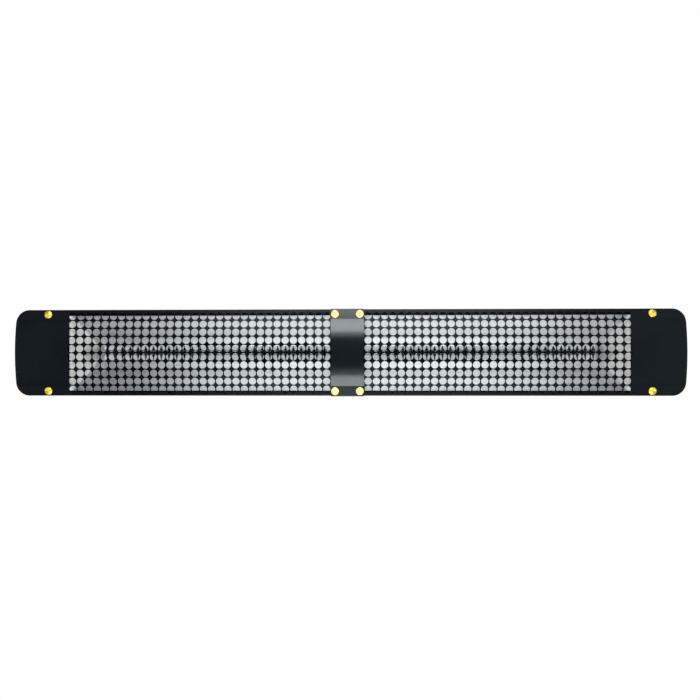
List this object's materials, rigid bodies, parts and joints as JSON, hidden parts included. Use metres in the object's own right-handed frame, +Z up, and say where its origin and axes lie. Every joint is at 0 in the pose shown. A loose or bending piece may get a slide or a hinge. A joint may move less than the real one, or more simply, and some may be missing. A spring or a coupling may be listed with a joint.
{
  "type": "infrared strip heater",
  "caption": "Long wall-hung infrared heater with perforated domed covers, centre strap, faceted reflectors, quartz lamps, terminal box and tilting brackets.",
  "frame": {"origin": "centre of the four wall fixing holes, on the wall plane behind the brackets", "axes": "+X along the heater, +Y into the wall so that the heater faces -Y, +Z up"},
  "size_m": [1.543, 0.1771, 0.2018],
  "materials": {
    "cover_paint": "semi-gloss black powder coat",
    "strap_paint": "semi-gloss black powder coat",
    "gold_screw": "bright gold plating",
    "zinc_steel": "zinc plated",
    "housing_paint": "satin black powder coat",
    "bright_aluminium": "bright rolled",
    "end_wall_aluminium": "satin",
    "quartz": "clear, polished",
    "tungsten": "drawn wire",
    "ceramic": "unglazed white",
    "stainless": "mill finish",
    "lead_sleeve": "braided glass-fibre sleeve",
    "silicone": "matt",
    "brass_part": "turned",
    "gland_plastic": "fine moulded texture",
    "bracket_paint": "satin black powder coat",
    "fibre_washer": "pressed fibre"
  },
  "bodies": {
    "wall_mount": {"pivot_bolts": "zinc_steel", "pivot_nuts": "zinc_steel", "pivot_washers": "fibre_washer", "wall_bracket_left": "bracket_paint", "wall_bracket_right": "bracket_paint"},
    "heater": {"backing_plates": "zinc_steel", "box_cover": "housing_paint", "box_cover_screws": "zinc_steel", "box_gasket": "silicone", "bracket_bolts": "zinc_steel", "bracket_nuts": "zinc_steel", "cap_rivets": "zinc_steel", "centre_strap": "strap_paint", "cover_posts": "zinc_steel", "cover_screws": "gold_screw", "earth_stud": "brass_part", "end_cap_left": "housing_paint", "end_cap_right": "housing_paint", "front_cover_left": "cover_paint", "front_cover_right": "cover_paint", "gland_body": "gland_plastic", "gland_cap_nut": "gland_plastic", "gland_lock_nut": "gland_plastic", "gland_seal": "silicone", "heat_shield": "stainless", "housing_trough": "housing_paint", "lamp_ceramics": "ceramic", "lamp_filament_left": "tungsten", "lamp_filament_right": "tungsten", "lamp_holder_centre": "stainless", "lamp_holder_left": "stainless", "lamp_holder_right": "stainless", "lamp_leads_left": "lead_sleeve", "lamp_leads_right": "lead_sleeve", "lamp_support_left": "stainless", "lamp_support_right": "stainless", "lamp_tube_left": "quartz", "lamp_tube_right": "quartz", "lead_grommets": "silicone", "lock_bolts": "zinc_steel", "lock_nuts": "zinc_steel", "lock_washers": "zinc_steel", "reflector_inner_end_left": "bright_aluminium", "reflector_inner_end_right": "bright_aluminium", "reflector_left": "bright_aluminium", "reflector_outer_end_left": "end_wall_aluminium", "reflector_outer_end_right": "end_wall_aluminium", "reflector_right": "bright_aluminium", "screw_inserts": "zinc_steel", "shield_standoffs": "zinc_steel", "terminal_block": "ceramic", "terminal_box": "housing_paint", "terminal_screws": "brass_part", "tilt_bracket_left": "bracket_paint", "tilt_bracket_right": "bracket_paint"}
  },
  "joints": [
    {"name": "tilt", "type": "hinge", "parent": "wall_mount", "child": "heater", "pos_m": [0, -0.05, 0], "axis": [1, 0, 0], "range_deg": [-45, 45]}
  ]
}
